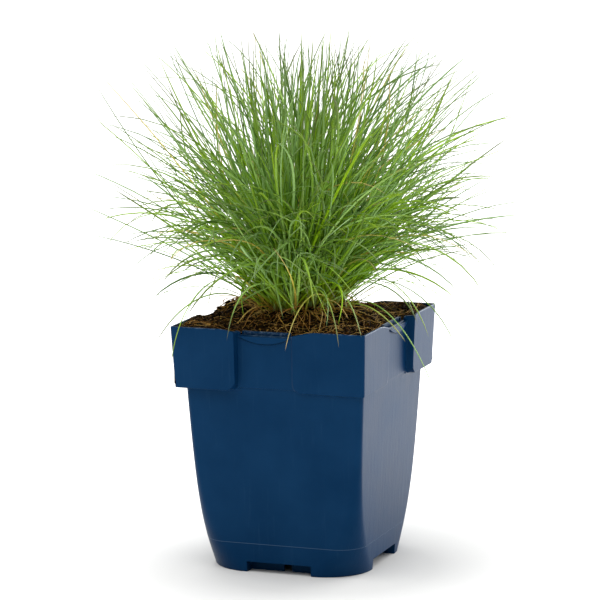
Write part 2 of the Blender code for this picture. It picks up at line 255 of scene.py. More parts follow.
def pot_ring(height, inset, collar=None):
    """One ring of the pot's wall, anticlockwise. On the body, height is a number. On the collar, it is worked
    out from collar, the share of the way from the collar's foot to its rim, plus that height."""
    rings = []
    arc_angle = np.radians(180.0 + 90.0 * np.arange(ARC_STEPS + 1) / ARC_STEPS)
    for side in range(4):
        mirrored = side % 2 == 1
        end = 1.0 if mirrored else -1.0
        if collar is None:
            reach = body_reach(height)
            radius = max(body_corner(height) - inset, 0.0004)
            corner_height = height
            straight = reach - inset - radius
            places = np.linspace(-straight, straight, len(SIDE_PLACES) + 2)[1:-1]
            heights = np.full(len(places), height)
            reaches = np.full(len(places), reach - inset)
        else:
            corner_height = COLLAR_FOOT + collar * (POT_HEIGHT - COLLAR_FOOT) + height
            reach = collar_reach(0.06 * end, corner_height)
            radius = max(0.0016 - inset, 0.0004)
            # the wall's inner face keeps the same thickness at the steps
            places = SIDE_PLACES[::-1] if mirrored else SIDE_PLACES
            low, high = collar_foot(places), rim_height(places)
            heights = low + collar * (high - low) + height
            shift = inset * (smooth_step((places + 0.030) / 0.006) * smooth_step((-0.012 - places) / 0.006))
            reaches = collar_reach(places + shift, heights) - inset
            places = -places if mirrored else places
        centre = inset + radius - reach
        arc = np.stack((
            centre + radius * np.cos(arc_angle),
            centre + radius * np.sin(arc_angle),
            np.full(ARC_STEPS + 1, corner_height),
        ), 1)
        run = np.stack((places, -reaches, heights), 1)
        ring = np.concatenate((arc, run))
        ring[:, :2] = ring[:, :2] @ quarter_turn(side)
        rings.append(ring)
    return np.concatenate(rings)


def pot_shell():
    """The wall from the ground up the outside, over the rounded rim and down the inside to the floor."""
    bend = EDGE * (1.0 - math.sqrt(0.5))
    rings = [pot_ring(0.0, EDGE), pot_ring(bend, bend), pot_ring(EDGE, 0.0)]
    rings += [pot_ring(height, 0.0) for height in np.linspace(0.002, 0.024, 12)]
    rings += [pot_ring(height, 0.0) for height in np.linspace(0.027, 0.1205, 32)]
    rings.append(pot_ring(0.0, EDGE, 0.0))
    rings.append(pot_ring(bend, bend, 0.0))
    rings.append(pot_ring(EDGE, 0.0, 0.0))
    shares = np.concatenate((np.linspace(0.03, 0.20, 8), np.linspace(0.26, 0.98, 13)))
    rings += [pot_ring(0.0, 0.0, share) for share in shares]
    rings.append(pot_ring(-EDGE, 0.0, 1.0))
    rings.append(pot_ring(-bend, bend, 1.0))
    rings.append(pot_ring(0.0, EDGE, 1.0))
    rings.append(pot_ring(0.0, WALL - EDGE, 1.0))
    rings.append(pot_ring(-bend, WALL - bend, 1.0))
    rings.append(pot_ring(-EDGE, WALL, 1.0))
    rings += [pot_ring(WALL * (1 - share), WALL, share) for share in np.linspace(0.95, 0.0, 10)]
    inside = (0.1224, 0.112, 0.095, 0.075, 0.055, 0.04, 0.028, 0.018, FLOOR_TOP)
    rings += [pot_ring(height, WALL) for height in inside]
    return np.concatenate(rings), closed_faces(len(rings), len(rings[0]))


def side_prism(outline, side, nearest, furthest):
    """A prism on one side of the pot: its outline is (place from the proud end, height)."""
    quarter = math.radians(90 * side)
    along = np.array((math.cos(quarter), math.sin(quarter), 0)) * (1 if side % 2 == 0 else -1)
    outward = np.array((math.sin(quarter), -math.cos(quarter), 0))
    outline = np.asarray(outline)
    flat = outline[:, :1] * along + outline[:, 1:] * np.array((0, 0, 1))
    return np.concatenate((flat + outward * nearest, flat + outward * furthest))


def upright(flat, low, high):
    """An upright prism between two heights, over a flat outline."""
    return np.concatenate([np.column_stack((flat, np.full(len(flat), height))) for height in (low, high)])


def prisms(shapes):
    """Several prisms of the same number of corners as one mesh, with its faces turned outwards."""
    corners = len(shapes[0]) // 2
    ring = np.arange(corners)
    walls = np.stack((ring, (ring + 1) % corners, (ring + 1) % corners + corners, ring + corners), 1)
    faces = []
    for number in range(len(shapes)):
        start = number * 2 * corners
        faces += (walls + start).tolist()
        faces += [(ring[::-1] + start).tolist(), (ring + corners + start).tolist()]
    mesh = bpy.data.meshes.new("cutter")
    mesh.from_pydata(np.concatenate(shapes).tolist(), [], faces)
    shape = bmesh.new()
    shape.from_mesh(mesh)
    bmesh.ops.recalc_face_normals(shape, faces=shape.faces)
    shape.to_mesh(mesh)
    shape.free()
    return mesh


def rectangle(left, right, low, high):
    """Corners of a rectangle."""
    return ((left, low), (right, low), (right, high), (left, high))


def cut_pot(pot, shapes, operation):
    """Cuts the shapes out of the pot or joins them to it."""
    operand = bpy.data.objects.new("cutter", prisms(shapes))
    bpy.context.scene.collection.objects.link(operand)
    modifier = pot.modifiers.new("cut", "BOOLEAN")
    modifier.operation = operation
    modifier.solver = "EXACT"
    modifier.object = operand
    depsgraph = bpy.context.evaluated_depsgraph_get()
    result = bpy.data.meshes.new_from_object(pot.evaluated_get(depsgraph))
    pot.modifiers.clear()
    pot.data = result
    bpy.data.objects.remove(operand)


def lip_arc(extra):
    """Points of the arc that bounds a label slot's lip, with extra added to the arc's radius."""
    middle = sum(SLOT_SPAN) / 2
    radius = (LIP_HALF_WIDTH**2 + LIP_HEIGHT**2) / (2 * LIP_HEIGHT)
    angles = math.asin(LIP_HALF_WIDTH / radius) * np.linspace(-1, 1, 25)
    centre = POT_HEIGHT - RIM_DIP - LIP_DROP + radius - LIP_HEIGHT
    radius += extra
    return np.stack((middle + radius * np.sin(angles), centre - radius * np.cos(angles)), 1)


def floor_hollow():
    """The space under the floor: inside the feet at the corners, behind the niches at the sides."""
    behind = BODY_GROUND_REACH - NICHE_DEPTH - NICHE_WALL
    beside = NICHE_HALF_WIDTH + NICHE_WALL
    radius = FOOT_CORNER - FOOT_WALL
    centre = BODY_GROUND_REACH - FOOT_CORNER
    start = math.asin((beside - centre) / radius)
    angles = np.linspace(start, math.pi / 2 - start, 16)
    arc = centre + radius * np.stack((np.cos(angles), np.sin(angles)), 1)
    corner = np.concatenate((((behind, beside),), arc, ((beside, behind),)))
    turns = [np.linalg.matrix_power(np.array(((0, 1), (-1, 0))), side) for side in range(4)]
    flat = np.concatenate([corner @ turn for turn in turns])
    return upright(flat, -PAST, FLOOR_UNDERSIDE)


def drain_hole(x, y):
    """A round hole through the floor."""
    angles = np.linspace(0, 2 * math.pi, 24, endpoint=False)
    flat = np.stack((x + DRAIN_HOLE_RADIUS * np.cos(angles), y + DRAIN_HOLE_RADIUS * np.sin(angles)), 1)
    return upright(flat, 0.004, 0.012)


def rim_wear(points):
    """How worn each point of the pot is: 1 on the rim, the lips and the slots' inner walls, 0 below them."""
    reach = np.abs(points[:, :2])
    along, across = reach.min(1), reach.max(1)
    inner = (across < MIDDLE_REACH[1] - WALL - SLOT_GAP + 0.001) & (along < 0.022)
    top = np.where(inner, SLOT_INNER_TOP, np.where(along < 0.014, POT_HEIGHT - RIM_DIP, POT_HEIGHT))
    return smooth_step((points[:, 2] - top + 0.0007) / 0.0005)


def make_pot(finish):
    """The pot as one moulding, with its slots, lips, niches and drain holes."""
    points, faces = pot_shell()
    pot = make_piece("moulded_pot", points, faces, finish)

    def cut(outline, nearest, furthest, operation="DIFFERENCE"):
        """Cuts a prism out of every side, or joins it on."""
        cut_pot(pot, [side_prism(outline, side, nearest, furthest) for side in range(4)], operation)

    reach = MIDDLE_REACH[1]
    inner = reach - WALL - SLOT_GAP
    left, right = SLOT_SPAN[0] - SLOT_WALL, SLOT_SPAN[1] + SLOT_WALL
    past_rim = POT_HEIGHT + 0.001
    block = rectangle(left, right, SLOT_FLOOR - SLOT_BED, SLOT_INNER_TOP)
    cut(block, inner - SLOT_WALL, reach - WALL / 2, "UNION")
    slot = rectangle(*SLOT_SPAN, SLOT_FLOOR, past_rim)
    cut(slot, inner, reach - WALL)
    sunk_rim = rectangle(left - GAP, right + GAP, POT_HEIGHT - RIM_DIP, past_rim)
    cut(sunk_rim, inner + SLOT_GAP / 4, reach + PAST)
    groove = np.concatenate((lip_arc(-0.0001), lip_arc(LIP_GROOVE)[::-1]))
    cut(groove, reach - LIP_GROOVE_DEPTH, reach + PAST)
    cut(lip_arc(0.0), reach - WALL / 2, reach + LIP_THICKNESS, "UNION")

    cut_pot(pot, [floor_hollow()], "DIFFERENCE")
    niche_back = BODY_GROUND_REACH - NICHE_DEPTH
    niche = rectangle(-NICHE_HALF_WIDTH, NICHE_HALF_WIDTH, -PAST, FLOOR_UNDERSIDE)
    cut(niche, niche_back, BODY_COLLAR_REACH)
    gap = rectangle(*DRAIN_GAP, -PAST, FLOOR_UNDERSIDE - WALL)
    cut(gap, niche_back - 2 * NICHE_WALL, niche_back + NICHE_WALL)
    spots = DRAIN_HOLE_OFFSET * np.array(((0, 0), (1, 1), (1, -1), (-1, -1), (-1, 1)))
    cut_pot(pot, [drain_hole(x, y) for x, y in spots], "DIFFERENCE")

    mesh = pot.data
    mesh.materials.clear()
    mesh.materials.append(finish)
    mesh.shade_smooth()
    mesh.set_sharp_from_angle(angle=math.radians(42))
    points = np.zeros(len(mesh.vertices) * 3, np.float32)
    mesh.vertices.foreach_get("co", points)
    mark = mesh.attributes.new("worn", "FLOAT", "POINT")
    mark.data.foreach_set("value", rim_wear(points.reshape(-1, 3)).astype(np.float32))
    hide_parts("pot")


# Peat


def heap(x, y):
    """Height of the peat without its crumbs: heaped round the crown, in the corners and along the left."""
    distance = np.hypot(x - CROWN[0], y - CROWN[1])
    share = np.maximum(0.0, 1.0 - (distance / SOIL_MOUND_RADIUS) ** 2)
    corner = smooth_step((np.minimum(np.abs(x), np.abs(y)) - 0.020) / 0.025)
    left = smooth_step((-x - 0.022) / 0.026)
    return SOIL_EDGE_HEIGHT + SOIL_MOUND * share**1.2 + np.maximum(0.0026 * corner, 0.0038 * left)


def peat_height(x, y):
    """Height of the peat's rough top: the heap with hills of four sizes."""
    rough = 0.0011 * unevenness(x, y, 0.011, 1) + 0.0009 * unevenness(x, y, 0.0045, 2)
    rough = rough + 0.0006 * np.abs(unevenness(x, y, 0.0021, 3)) + 0.0004 * unevenness(x, y, 0.0011, 4)
    return heap(x, y) + rough


def peat_outline(height, inset, count):
    """The peat's edge along the pot's inner wall, count points a side; it leaves out the label slots."""
    share = np.linspace(0.0, 1.0, count, endpoint=False)
    sides = []
    for side in range(4):
        mirrored = side % 2 == 1
        ends = [float(collar_reach(-0.06 * (-1) ** (side + end), height)) - inset for end in (0, 1)]
        x = -ends[0] + share * (ends[0] + ends[1])
        place = -x if mirrored else x
        slot = smooth_step((place + 0.0235) / 0.001) * smooth_step((0.0135 - place) / 0.001)
        clear = (SLOT_GAP + SLOT_WALL) * slot
        shift = 0.0015 * smooth_step((place + 0.03) / 0.004) * smooth_step((-0.01 - place) / 0.004)
        wall = collar_reach(place + shift, height) - inset
        sides.append(np.stack((x, -(wall - clear)), 1) @ quarter_turn(side))
    return np.concatenate(sides)


def make_peat(finish):
    """The root-bound block inside the pot, and on it the rough top: rings that shrink towards the crown."""
    heights = (FLOOR_TOP + GAP, 0.018, 0.028, 0.042, 0.06, 0.085, 0.1185)
    block = [pot_ring(height, WALL + GAP) for height in heights]
    lid = []
    edge = peat_outline(SOIL_EDGE_HEIGHT, WALL + GAP, 110)
    for height in (0.1235, 0.150):
        lid.append(np.column_stack((edge, np.full(len(edge), height))))
    for share in np.linspace(1.0, 0.01, 84):
        ring = edge * share
        drop = 0.0006 * smooth_step((share - 0.96) / 0.04)
        lid.append(np.column_stack((ring, peat_height(ring[:, 0], ring[:, 1]) - drop)))
    points, faces, start = [], [], 0
    for rings in (block, lid):
        faces += [block_faces + start for block_faces in closed_faces(len(rings), len(rings[0]))]
        points += rings
        start += len(rings[0]) * len(rings)
    piece = make_piece("peat_block", np.concatenate(points), faces, finish)
    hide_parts("potting_soil")


def make_crumbs(finish):
    """Loose crumbs and bits of bark: icosahedra, each stretched, dented and turned its own way."""
    dice = np.random.default_rng(11)
    count = 3000
    golden = (1 + math.sqrt(5)) / 2
    lump = np.array((
        (-1, golden, 0), (1, golden, 0), (-1, -golden, 0), (1, -golden, 0),
        (0, -1, golden), (0, 1, golden), (0, -1, -golden), (0, 1, -golden),
        (golden, 0, -1), (golden, 0, 1), (-golden, 0, -1), (-golden, 0, 1),
    ))
    lump = lump / np.linalg.norm(lump[0])
    sides = np.array((
        (0, 11, 5), (0, 5, 1), (0, 1, 7), (0, 7, 10), (0, 10, 11),
        (1, 5, 9), (5, 11, 4), (11, 10, 2), (10, 7, 6), (7, 1, 8),
        (3, 9, 4), (3, 4, 2), (3, 2, 6), (3, 6, 8), (3, 8, 9),
        (4, 9, 5), (2, 4, 11), (6, 2, 10), (8, 6, 7), (9, 8, 1),
    ))
    x, y = scatter_on_peat(dice, count)
    size = 0.00040 + 0.0011 * dice.random(count) ** 2.6
    stretch = dice.uniform(0.55, 1.5, (count, 1, 3))
    bumpy = dice.uniform(0.72, 1.2, (count, 12, 1))
    angle = dice.uniform(0, 2 * math.pi, count)
    shape = lump * stretch * bumpy * size[:, None, None]
    tilt = dice.uniform(-0.8, 0.8, count)
    turned_x = shape[..., 0] * np.cos(angle)[:, None] - shape[..., 1] * np.sin(angle)[:, None]
    turned_y = shape[..., 0] * np.sin(angle)[:, None] + shape[..., 1] * np.cos(angle)[:, None]
    turned_z = shape[..., 2] * np.cos(tilt)[:, None] + turned_x * np.sin(tilt)[:, None]
    points = np.stack((turned_x + x[:, None], turned_y + y[:, None], turned_z), 2)
    points[..., 2] += (peat_height(x, y) + 0.25 * size)[:, None]
    faces = (sides + 12 * np.arange(count)[:, None, None]).reshape(-1, 3)
    tone = np.repeat(dice.random(count) ** 1.3, 12)
    make_piece("peat_crumbs", points.reshape(-1, 3), [faces], finish, {"tone": tone}, smooth=False)


def inside_wall(x, y, beside_slot, elsewhere):
    """Pulls places inside the pot's wall, further in beside the label slots than elsewhere."""
    limit = np.where((np.abs(x) < SLOT_ZONE) | (np.abs(y) < SLOT_ZONE), beside_slot, elsewhere)
    return np.clip(x, -limit, limit), np.clip(y, -limit, limit)


def scatter_on_peat(dice, count):
    """Random places on the peat's top, clear of the wall and the label slots."""
    x, y = dice.uniform(-0.0625, 0.0625, (2, count))
    return inside_wall(x, y, 0.0545, 0.0590)


# Leaves


def leaf_paths(feet, azimuth, rise, bend, lateness, length, sweep, count):
    """Points along many leaves, (leaf, point, 3). A leaf leaves its foot at its rise and bows down by its
    bend before the tip; lateness says how late, and sweep turns it sideways by its tip. Angles in degrees."""
    share = (np.arange(count - 1) + 0.5) / (count - 1)
    slope = np.radians(rise[:, None] - bend[:, None] * share ** lateness[:, None])
    turn = np.radians(azimuth[:, None] + sweep[:, None] * share)
    ways = np.stack((np.cos(slope) * np.cos(turn), np.cos(slope) * np.sin(turn), np.sin(slope)), 2)
    steps = ways * (length / (count - 1))[:, None, None]
    start = feet[:, None, :]
    return np.concatenate((start, start + np.cumsum(steps, 1)), 1)


def leaf_mesh(paths, half_width, flatness, twist, corners=4):
    """Needle leaves round their paths: an oval section that is widest low down and drawn out to a fine tip.
    Gives the points and the faces, with both ends closed."""
    leaves, count, _ = paths.shape
    along = np.gradient(paths, axis=1)
    along /= np.linalg.norm(along, axis=2, keepdims=True)
    side = np.cross(along, (0.0, 0.0, 1.0))
    level = np.stack((np.sin(twist), np.cos(twist), 0 * twist), 1)[:, None, :]
    side = np.where(np.linalg.norm(side, axis=2, keepdims=True) < 0.15, np.cross(along, level), side)
    side /= np.linalg.norm(side, axis=2, keepdims=True)
    up = np.cross(side, along)
    share = np.linspace(0.0, 1.0, count)
    taper = (1.0 - 0.25 * share) * np.sqrt(np.clip(1.0 - share**4.5, 0.0, 1.0)) + 0.06
    width = half_width[:, None] * taper
    angles = twist[:, None] * (0.3 + 0.7 * share)[None, :]
    wide = side * np.cos(angles)[..., None] + up * np.sin(angles)[..., None]
    thin = up * np.cos(angles)[..., None] - side * np.sin(angles)[..., None]
    spin = np.arange(corners) * 2 * math.pi / corners
    across = np.cos(spin) * width[..., None]
    over = np.sin(spin) * (width * flatness[:, None])[..., None]
    ring = paths[:, :, None] + wide[:, :, None] * across[..., None] + thin[:, :, None] * over[..., None]
    start = (np.arange(leaves) * count * corners)[:, None, None]
    faces = [(block + start).reshape(-1, block.shape[1]) for block in closed_faces(count, corners)]
    return ring.reshape(-1, 3), faces


def leaf_marks(leaves, count, corners, **values):
    """Numbers for the leaves' finish: the share along the leaf, and one value of each kind for each leaf."""
    share = np.tile(np.repeat(np.linspace(0.0, 1.0, count), corners), leaves)
    marks = {"along": share}
    for key, value in values.items():
        marks[key] = np.repeat(value, count * corners)
    return marks


def clump_reach(foot, azimuth, rise):
    """Distance from a foot to the clump's outside in a direction: no longer than the longest leaf, no further
    from the pot's axis than the clump's reach, and no higher than its top."""
    azimuth, rise = np.radians(azimuth), np.radians(rise)
    ahead = foot[:, 0] * np.cos(azimuth) + foot[:, 1] * np.sin(azimuth)
    level = np.sqrt(ahead**2 - foot[:, 0] ** 2 - foot[:, 1] ** 2 + CLUMP_REACH**2) - ahead
    upward = (CLUMP_TOP - foot[:, 2]) / np.maximum(np.sin(rise), 0.1)
    return np.minimum(LONGEST_LEAF, np.minimum(level / np.maximum(np.cos(rise), 0.05), upward))


def clear_of_pot(paths, room):
    """Shrinks leaves that would stand above the clump's top, lifts leaves off the peat and off the pot's rim,
    and takes their tips inside the clump's bounds."""
    feet = paths[:, :1]
    shrink = (CLUMP_TOP - feet[:, 0, 2]) / np.ptp(paths[..., 2], axis=1)
    paths = feet + (paths - feet) * np.minimum(1.0, shrink)[:, None, None]
    x, y, z = paths[..., 0], paths[..., 1], paths[..., 2]
    reach = np.maximum(np.abs(x), np.abs(y))
    over_rim = np.where(reach < 0.069, POT_HEIGHT + 0.0005, 0.0)
    ground = np.where(reach < 0.061, heap(x, y) + 0.0006, over_rim)
    share = np.linspace(0.0, 1.0, paths.shape[1])[None, :]
    ground = ground + room[:, None] * smooth_step(share / 0.25)
    paths[..., 2] = np.where(share < 0.04, z, np.maximum(z, ground))
    paths[..., :2] = np.clip(paths[..., :2], -TIP_BOUND, TIP_BOUND)
    return paths


def tuft_shape(dice, distance, azimuth, rise):
    """Paths of one tuft's leaves, in shoots of six. Most stand near the tuft's own lean and bow out a little,
    the more the lower they lie; the others rise steeply, bow right over and turn aside."""
    shoots = 8 if 35 < rise < 60 else 5
    count = shoots * SHOOT_LEAVES

    def scatter(shoot_spread, leaf_spread):
        """A random number for each leaf: one for its shoot and one of its own."""
        shared = np.repeat(dice.normal(0.0, shoot_spread, shoots), SHOOT_LEAVES)
        return shared + dice.normal(0.0, leaf_spread, count)

    shoot_aside = np.repeat(dice.normal(0.0, 10.0, shoots), SHOOT_LEAVES)
    chord_rise = 0.86 * rise + 11.0 + scatter(10.0, 11.0)
    chord_rise = np.where(chord_rise > 88.0, 176.0 - chord_rise, chord_rise)
    chord_rise = np.maximum(chord_rise, 22.0)
    aside = 1.4 * shoot_aside + dice.normal(0.0, 14.0, count)
    chord_azimuth = azimuth + aside / np.maximum(np.cos(np.radians(chord_rise)), 0.35)
    if rise > 80:
        around = np.repeat(dice.uniform(0.0, 360.0, shoots), SHOOT_LEAVES)
        chord_azimuth = around + dice.normal(0.0, 30.0, count)
    foot_out = distance * 0.72 + scatter(0.0024, 0.0008)
    foot_side = scatter(0.0036, 0.0008)
    lean = math.radians(azimuth)
    x = CROWN[0] + foot_out * math.cos(lean) - foot_side * math.sin(lean)
    y = CROWN[1] + foot_out * math.sin(lean) + foot_side * math.cos(lean)
    feet = np.stack((x, y, heap(x, y) - 0.0015), 1)
    flat = np.cos(np.radians(chord_rise))
    bend = np.clip(8.0 + 58.0 * flat**1.5 + dice.normal(0.0, 29.0, count), -42.0, 120.0)
    sweep = dice.normal(0.0, 44.0, count)
    length = clump_reach(feet, chord_azimuth, chord_rise) * (1.09 - 0.52 * dice.random(count) ** 1.3)
    length = length * (1.0 + 0.0000045 * np.abs(bend) ** 2.2)
    lateness = dice.uniform(0.7, 1.6, count)
    start = np.minimum(chord_rise + bend / (lateness + 1.0), 104.0)

    towards_front = (0.5 - 0.5 * math.sin(math.radians(azimuth - 20.0))) ** 2
    over = dice.random(count) < 0.10 + 0.52 * towards_front
    start = np.where(over, dice.uniform(60.0, 94.0, count), start)
    bend = np.where(over, dice.uniform(55.0, 125.0, count), bend)
    sweep = np.where(over, dice.normal(0.0, 70.0, count), sweep)
    length = np.where(over, dice.uniform(0.085, 0.165, count), length)
    paths = leaf_paths(feet, chord_azimuth - sweep / 2, start, bend, lateness, length, sweep, LEAF_POINTS)
    return clear_of_pot(paths, dice.uniform(0.0, 0.006, count))


def make_tufts(finish):
    """Every tuft's needle leaves, one piece for each tuft."""
    dice = np.random.default_rng(7)
    number = 0
    for distance, rise, azimuths in TUFT_RINGS:
        for azimuth in azimuths:
            number += 1
            paths = tuft_shape(dice, distance, azimuth, rise)
            count = len(paths)
            half_width = dice.uniform(0.00052, 0.00096, count)
            twist = dice.uniform(-1.2, 1.2, count)
            points, faces = leaf_mesh(paths, half_width, np.full(count, 0.55), twist)
            dry = np.where(dice.random(count) < 0.03, dice.uniform(0.4, 1.0, count), 0.0)
            # per leaf: a random tone, and a random number for painted shading or a painted highlight
            tone, shade = dice.random(count), dice.random(count)
            marks = leaf_marks(count, LEAF_POINTS, 4, tone=tone, shade=shade, dry=dry)
            piece = make_piece(f"tuft_{number:02d}_leaves", points, faces, finish, marks)
            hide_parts(f"leaf_tuft_{number:02d}")


def make_arching_leaves(finish):
    """The long leaves that bow out of the clump and over the rim, one piece each."""
    dice = np.random.default_rng(23)
    steps, corners = 28, 6
    for number, (stand, *shape, half_width, dry) in enumerate(ARCHING_LEAVES, 1):
        lean = math.radians(stand)
        x, y = CROWN[0] + ARCH_STAND * math.cos(lean), CROWN[1] + ARCH_STAND * math.sin(lean)
        feet = np.array(((x, y, heap(x, y) + GAP),))
        values = [np.array((float(value),)) for value in (*shape, 0.0)]
        paths = leaf_paths(feet, *values, steps)
        twist = dice.uniform(-0.5, 0.5, 1)
        points, faces = leaf_mesh(paths, np.array((half_width,)), np.array((0.5,)), twist, corners)
        # every arching leaf gets a slight painted highlight low down
        shade, dry = np.array((0.7,)), np.array((dry,))
        marks = leaf_marks(1, steps, corners, tone=dice.random(1), shade=shade, dry=dry)
        piece = make_piece(f"arched_leaf_{number:02d}", points, faces, finish, marks)
        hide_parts(f"arching_leaf_{number:02d}")


def lying_paths(dice, count, length, lift, points):
    """Thin things that lie curled on the peat: a wandering line that follows the peat's height."""
    x, y = scatter_on_peat(dice, count)
    heading = dice.uniform(0.0, 2 * math.pi, count)[:, None]
    share = np.linspace(-0.5, 0.5, points)[None, :]
    curl = dice.normal(0.0, 1.6, count)[:, None]
    turn = heading + curl * share + 0.5 * np.sin(6.0 * share + heading)
    step = (length / (points - 1))[:, None]
    px = x[:, None] + np.cumsum(np.cos(turn) * step, 1)
    py = y[:, None] + np.cumsum(np.sin(turn) * step, 1)
    px, py = inside_wall(px, py, 0.0553, 0.0600)
    hump = lift[:, None] * np.cos(math.pi * share) ** 2
    return np.stack((px, py, peat_height(px, py) + 0.0004 + hump), 2)


def make_litter(fibre, straw):
    """Root and peat fibres on the heap, and dry leaves that hang from the crown and lie curled on it."""
    dice = np.random.default_rng(31)
    count, steps, corners = 300, 9, 3
    length = dice.uniform(0.010, 0.040, count)
    paths = lying_paths(dice, count, length, dice.uniform(0.0, 0.003, count), steps)
    half_width = dice.uniform(0.00007, 0.00016, count)
    points, faces = leaf_mesh(paths, half_width, np.ones(count), dice.random(count), corners)
    marks = leaf_marks(count, steps, corners, tone=dice.random(count))
    make_piece("peat_fibres", points, faces, fibre, marks)

    count, steps = 150, 12
    azimuth = dice.uniform(0.0, 360.0, count)
    stand = dice.uniform(0.020, 0.034, count)
    x = CROWN[0] + stand * np.cos(np.radians(azimuth))
    y = CROWN[1] + stand * np.sin(np.radians(azimuth))
    feet = np.stack((x, y, heap(x, y)), 1)
    heading = azimuth + dice.normal(0.0, 18.0, count)
    rise, bend = dice.uniform(10.0, 75.0, count), dice.uniform(60.0, 150.0, count)
    lateness, length = dice.uniform(0.3, 0.9, count), dice.uniform(0.014, 0.048, count)
    paths = leaf_paths(feet, heading, rise, bend, lateness, length, dice.normal(0.0, 60.0, count), steps)
    paths[..., :2] = np.clip(paths[..., :2], -0.0585, 0.0585)
    ground = peat_height(paths[..., 0], paths[..., 1]) + 0.0005
    paths[..., 2] = np.maximum(paths[..., 2], ground)
    half_width, twist = dice.uniform(0.00022, 0.00050, count), dice.uniform(-1.5, 1.5, count)
    points, faces = leaf_mesh(paths, half_width, np.full(count, 0.4), twist)
    marks = leaf_marks(count, steps, 4, tone=dice.random(count))
    make_piece("dry_leaves", points, faces, straw, marks)


# Finishes


class Finish:
    """A node material in the making, whose shader is a Principled one."""

    def __init__(self, name):
        self.material = bpy.data.materials.new(name)
        self.material.use_nodes = True
        self.nodes = self.material.node_tree.nodes
        self.links = self.material.node_tree.links
        self.shader = self.nodes["Principled BSDF"]

    def add(self, kind, values=None, **settings):
        """A node with its settings, and its inputs filled with values or links."""
        node = self.nodes.new(kind)
        for key, value in settings.items():
            setattr(node, key, value)
        for key, value in (values or {}).items():
            self.feed(node.inputs[key], value)
        return node

    def feed(self, socket, value):
        """Sets a socket, or links it to another node's output."""
        if isinstance(value, bpy.types.NodeSocket):
            self.links.new(value, socket)
        else:
            socket.default_value = value

    def ramp(self, factor, stops):
        """A colour ramp over a factor: (place, colour) stops."""
        node = self.add("ShaderNodeValToRGB", {"Fac": factor})
        while len(node.color_ramp.elements) < len(stops):
            node.color_ramp.elements.new(0.5)
        for element, (place, colour) in zip(node.color_ramp.elements, stops):
            element.position = place
            element.color = (*colour, 1.0)
        return node.outputs["Color"]

    def mix(self, factor, first, second):
        """The second colour over the first, by a factor."""
        node = self.add("ShaderNodeMix", data_type="RGBA")
        self.feed(node.inputs[0], factor)
        for socket, value in ((node.inputs[6], first), (node.inputs[7], second)):
            self.feed(socket, (*value, 1.0) if isinstance(value, tuple) else value)
        return node.outputs[2]

    def math(self, operation, first, second=0.0):
        """A number from one or two numbers."""
        return self.add("ShaderNodeMath", {0: first, 1: second}, operation=operation).outputs[0]

    def span(self, value, low, high, to_low=0.0, to_high=1.0):
        """Maps a range onto another, smoothly and clamped."""
        sockets = {"Value": value, "From Min": low, "From Max": high, "To Min": to_low, "To Max": to_high}
        return self.add("ShaderNodeMapRange", sockets).outputs[0]

    def place(self, stretch=(1.0, 1.0, 1.0)):
        """The object's own coordinates, stretched."""
        coordinates = self.add("ShaderNodeTexCoord")
        sockets = {"Vector": coordinates.outputs["Object"], "Scale": stretch}
        return self.add("ShaderNodeMapping", sockets).outputs[0]

    def noise(self, place, scale, detail=3.0, roughness=0.5):
        """Cloudy noise from 0 to 1."""
        sockets = {"Vector": place, "Scale": scale, "Detail": detail, "Roughness": roughness}
        return self.add("ShaderNodeTexNoise", sockets).outputs[0]

    def mark(self, name):
        """A number stored with the piece's points."""
        return self.add("ShaderNodeAttribute", attribute_name=name).outputs["Fac"]

    def bump(self, height, strength, distance):
        """Feeds the shader's normal from a height."""
        node = self.add("ShaderNodeBump", {"Height": height, "Strength": strength, "Distance": distance})
        self.links.new(node.outputs[0], self.shader.inputs["Normal"])

    def finish(self, colour, roughness, **fixed):
        """Feeds colour and roughness to the shader, and sets its other sockets to fixed numbers."""
        self.feed(self.shader.inputs["Base Color"], colour)
        self.feed(self.shader.inputs["Roughness"], roughness)
        for key, value in fixed.items():
            self.shader.inputs[key.replace("_", " ")].default_value = value
        return self.material


def navy_plastic():
    """Satin navy plastic: drawn streaks, cloudy flow marks, a scuffed rim and a mould line with a painted
    highlight.
    """
    look = Finish("navy_plastic")
    straight = look.place()
    streaks = look.noise(look.place((1.0, 1.0, 0.05)), 420.0, 4.0)
    clouds = look.noise(straight, 26.0, 3.0)
    grain = look.noise(straight, 900.0, 2.0)
    colour = look.ramp(clouds, ((0.28, (0.0004, 0.0175, 0.060)), (0.72, (0.0030, 0.0270, 0.080))))
    colour = look.mix(look.span(streaks, 0.60, 0.85, 0.0, 0.22), colour, (0.020, 0.055, 0.115))
    height = look.add("ShaderNodeSeparateXYZ", {0: look.place()}).outputs[2]
    # the mould line: a slight ridge in the bump, and a painted highlight in the colour
    line = look.math("LESS_THAN", look.math("ABSOLUTE", look.math("SUBTRACT", height, MOULD_LINE)), 0.00022)
    # painted highlight: the colour is made paler along the mould line
    colour = look.mix(look.math("MULTIPLY", line, 0.30), colour, (0.10, 0.16, 0.24))
    scuffs = look.math("MULTIPLY", look.mark("worn"), look.span(look.noise(straight, 520.0, 4.0), 0.45, 0.70))
    colour = look.mix(look.math("MULTIPLY", scuffs, 0.45), colour, (0.16, 0.22, 0.30))
    roughness = look.math("ADD", look.span(clouds, 0.2, 0.8, 0.30, 0.40), look.math("MULTIPLY", scuffs, 0.15))
    relief = look.math("ADD", look.math("MULTIPLY", streaks, 0.5), look.math("MULTIPLY", grain, 0.35))
    relief = look.math("ADD", relief, look.math("MULTIPLY", clouds, 1.6))
    look.bump(look.math("ADD", relief, line), 0.55, 0.00030)
    return look.finish(colour, roughness, IOR=1.20, Specular_Tint=(0.30, 0.70, 1.0, 1.0))


